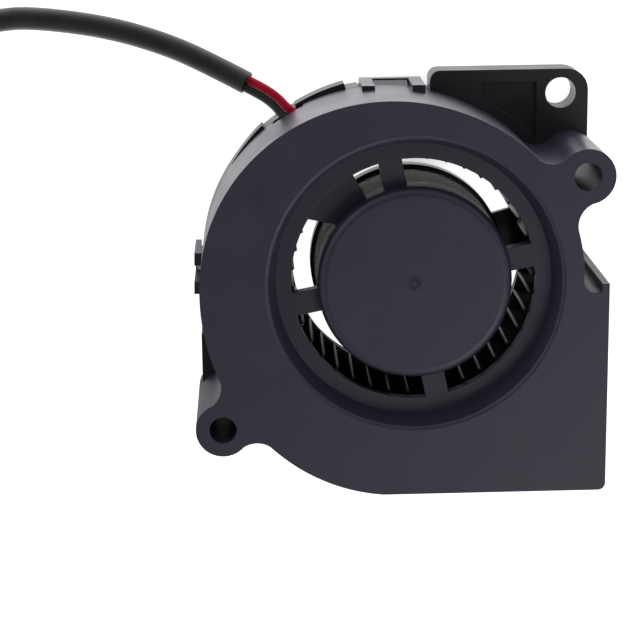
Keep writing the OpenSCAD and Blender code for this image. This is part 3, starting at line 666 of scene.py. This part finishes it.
hub = turned_shape(
    [(0, REAR_Z), (DISH_IN, REAR_Z), (DISH_IN + DISH_SLOPE, REAR_Z + DISH_DEPTH),
     (DISH_OUT - DISH_SLOPE, REAR_Z + DISH_DEPTH), (DISH_OUT, REAR_Z)]
    + arc_of(HUB_R - HUB_EDGE, REAR_Z + HUB_EDGE, HUB_EDGE, 270, 360)
    + arc_of(HUB_R - SKIRT_EDGE, SKIRT_Z - SKIRT_EDGE, SKIRT_EDGE, 0, 90, 4)
    + [(YOKE_R, SKIRT_Z), (YOKE_R, YOKE_Z), (BUSH_R, YOKE_Z), (BUSH_R, BUSH_Z), (0, BUSH_Z)])
rear_ring = rounded_ring(BLADE_IN, BLADE_OUT - 0.3, REAR_Z + 0.6, REAR_Z + 1.6, RING_EDGE)
front_ring = rounded_ring(BLADE_OUT - 0.7, BLADE_OUT, TOP_Z - 1, TOP_Z, TIE_EDGE)
web = rounded_box(WEB_SIZE, WEB_MIDDLE)
web.transform(Matrix.Rotation(math.radians(WEB_TURN), 4, "Z"))
blades = repeated(blade_unit(), impeller_black, BLADES, 360 / BLADES)
webs = repeated(web, impeller_black, WEBS, 360 / WEBS)
impeller = joined("impeller_moulding", [hub, rear_ring, front_ring, blades, webs], impeller_black, "rotor")
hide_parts("impeller")

# ---------------------------------------------------------------- stator
# Lamination stack: thin sheets with a seam between each two
SHEETS, STACK_Z, STACK_H, SEAM = 10, 7.4, 4.0, 0.04
pitch = STACK_H / SHEETS


def one_sheet(p):
    """A point of the whole stack, squashed into its lowest sheet."""
    return Vector((p.x, p.y, STACK_Z + (p.z - STACK_Z) / STACK_H * (pitch - SEAM)))


sheet = merged_copy("stator_core", one_sheet)
sheets = repeated(sheet, lamination_steel, SHEETS, 0, (0, 0, pitch))
stack = joined("lamination_stack", [sheets], lamination_steel, "housing")
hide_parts("stator_core")


def wire_turn(x, half_w, half_h, wire, sides=6, corner=0.6):
    """One square-set turn of round wire around a pole's arm, at x."""
    rings = []
    for cy, cz, start in ((1, 1, 0), (-1, 1, 90), (-1, -1, 180), (1, -1, 270)):
        for k in range(4):
            a = math.radians(start + 30 * k)
            ny, nz = math.cos(a), math.sin(a)
            y = cy * (half_w - corner) + corner * ny
            z = cz * (half_h - corner) + corner * nz
            rings.append([(x + wire / 2 * math.cos(math.tau * j / sides),
                           y + ny * wire / 2 * math.sin(math.tau * j / sides),
                           STACK_Z + STACK_H / 2 + z + nz * wire / 2 * math.sin(math.tau * j / sides))
                          for j in range(sides)])
    return lofted(rings, closed=True)


WIRE, WOUND_FROM, WOUND_TO, LAYERS = 0.25, 5.75, 8.13, 5
HOLE_W, HOLE_H, LAYER_RISE, TURN_PITCH = 2.8, 5.2, 0.98, WIRE * 1.01
POLES = 4
for k in range(POLES):
    layers = []
    for layer in range(LAYERS):
        out = WIRE * (0.5 + LAYER_RISE * layer)
        start = WOUND_FROM + WIRE / 2 + (layer % 2) * WIRE / 2
        count = int((WOUND_TO - start) / WIRE)
        unit = wire_turn(start, HOLE_W / 2 + out, HOLE_H / 2 + out, WIRE)
        layers.append(repeated(unit, copper, count, 0, (TURN_PITCH, 0, 0)))
    name = "winding_%d" % (k + 1)
    turns = joined(name + "_turns", layers, copper, "housing")
    turns.data.transform(Matrix.Rotation(math.radians(360 / POLES * k), 4, "Z"))
    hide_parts(name)

# Preload spring
SPRING_R, SPRING_WIRE, SPRING_Z, SPRING_H, SPRING_TURNS = 1.85, 0.3, 5.0, 1.2, 2.5
SPRING_STEPS = 28
spring_path = []
for i in range(int(SPRING_TURNS * SPRING_STEPS) + 1):
    a = math.tau * i / SPRING_STEPS
    rise = (SPRING_H - SPRING_WIRE) * i / (SPRING_TURNS * SPRING_STEPS)
    spring_path.append(Vector((SPRING_R * math.cos(a), SPRING_R * math.sin(a),
                               SPRING_Z + SPRING_WIRE / 2 + rise)))
spring = tube("preload_spring_wire", spring_path, SPRING_WIRE / 2, 10, bearing_steel, body="rotor")
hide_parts("preload_spring")

# Mark that the moulding's gate leaves on the motor base
GATE = Vector((-0.15, 0.1, 0))
gate = turned_shape([(0, 19.09), (0.9, 19.09), (0.9, 19.11), (0.78, 19.17), (0.66, 19.11), (0.34, 19.11),
                     (0.26, 19.2), (0, 19.22)], 48)
gate.transform(Matrix.Translation(GATE * MM))
joined("gate_mark", [gate], housing_black, "housing")

# ---------------------------------------------------------------- nodes that show as they are
for name, finish in NODE_FINISH.items():
    if name not in dressed:
        mesh = frame["nodes"][name].data
        mesh.materials.clear()
        mesh.materials.append(finish)

tuple(sleeve_path[0] * MM)
length_of(sleeve_path) * MM
[tuple(p * MM) for p in sleeve_path]

# ---------------------------------------------------------------- studio
floor_mesh = bpy.data.meshes.new("floor")
FLOOR = 3
floor_mesh.from_pydata([(-FLOOR, -FLOOR, 0), (FLOOR, -FLOOR, 0), (FLOOR, FLOOR, 0), (-FLOOR, FLOOR, 0)],
                       [], [(0, 1, 2, 3)])
floor = bpy.data.objects.new("floor", floor_mesh)
scene.collection.objects.link(floor)
paper = Finish("paper_white", Base_Color=(0.8, 0.8, 0.8), Roughness=0.9, Emission_Color=(1, 1, 1))
path_kind = paper.node("ShaderNodeLightPath")
seen = Value(paper, path_kind.socket.node.outputs["Is Camera Ray"])
shine = Value(paper, path_kind.socket.node.outputs["Is Glossy Ray"])
# The camera sees white, but for a painted soft shade under the top air slot: the floor's glow is dimmed there
# in place of a cast shadow.
# Painted reflection: the floor's glow in reflections is dim on the side of the outlet's flat wall and bright,
# beyond white, on the other.
SHADE_Y, SHADE_CORE, SHADE_EDGE, SHADE_DEPTH = 0.017, 0.003, 0.009, 0.5
DIM_Y, BRIGHT_Y, DIM_SHINE, BRIGHT_SHINE = -0.02, 0.03, 0.1, 1.8
across, along = paper.axes()[:2]
away = (across * across + (along - SHADE_Y) * (along - SHADE_Y)) ** 0.5
painted_shade = paper.spread(away, SHADE_DEPTH, 1.0, SHADE_CORE, SHADE_EDGE)
painted_reflection = paper.spread(along, DIM_SHINE, BRIGHT_SHINE, DIM_Y, BRIGHT_Y)
glow = paper.node("ShaderNodeEmission", None, {
    "Color": (1, 1, 1, 1), "Strength": (seen * painted_shade).most(shine * painted_reflection)})
both = paper.node("ShaderNodeAddShader", None, {0: Value(paper, paper.shader.outputs[0]), 1: glow})
paper.tree.links.new(both.socket, paper.out.inputs[0])
floor_mesh.materials.append(paper.material)

# Bright around the horizon and dim overhead, where the camera is
world = bpy.data.worlds.new("studio")
scene.world = world
world.use_nodes = True
sky = world.node_tree
backdrop = sky.nodes["Background"]
backdrop.inputs[0].default_value = (1, 1, 1, 1)
where = sky.nodes.new("ShaderNodeTexCoord")
parts = sky.nodes.new("ShaderNodeSeparateXYZ")
fall = sky.nodes.new("ShaderNodeMapRange")
sky.links.new(where.outputs[0], parts.inputs[0])
sky.links.new(parts.outputs[2], fall.inputs[0])
LOW_SKY, HIGH_SKY, HORIZON_LIGHT, OVERHEAD_LIGHT = 0.05, 0.85, 1.0, 0.16
for end, value in enumerate((LOW_SKY, HIGH_SKY, HORIZON_LIGHT, OVERHEAD_LIGHT), 1):
    fall.inputs[end].default_value = value
sky.links.new(fall.outputs[0], backdrop.inputs[1])


def softbox(name, place, aim, size, power):
    """Square soft light at a place in metres, turned to its aim."""
    data = bpy.data.lights.new(name, "AREA")
    data.shape = "RECTANGLE"
    data.size, data.size_y = size
    data.energy = power
    lamp = bpy.data.objects.new(name, data)
    turn = (Vector(place) - Vector(aim)).to_track_quat("Z", "Y").to_matrix().to_4x4()
    lamp.matrix_world = Matrix.Translation(place) @ turn
    scene.collection.objects.link(lamp)


softbox("key_softbox", (0.34, -0.42, 0.75), (0, 0, 0), (0.5, 0.5), 1.75)
softbox("fill_softbox", (-0.6, 0.45, 0.35), (0, 0, 0), (0.5, 0.5), 0.6)

scene.view_settings.view_transform = "Standard"
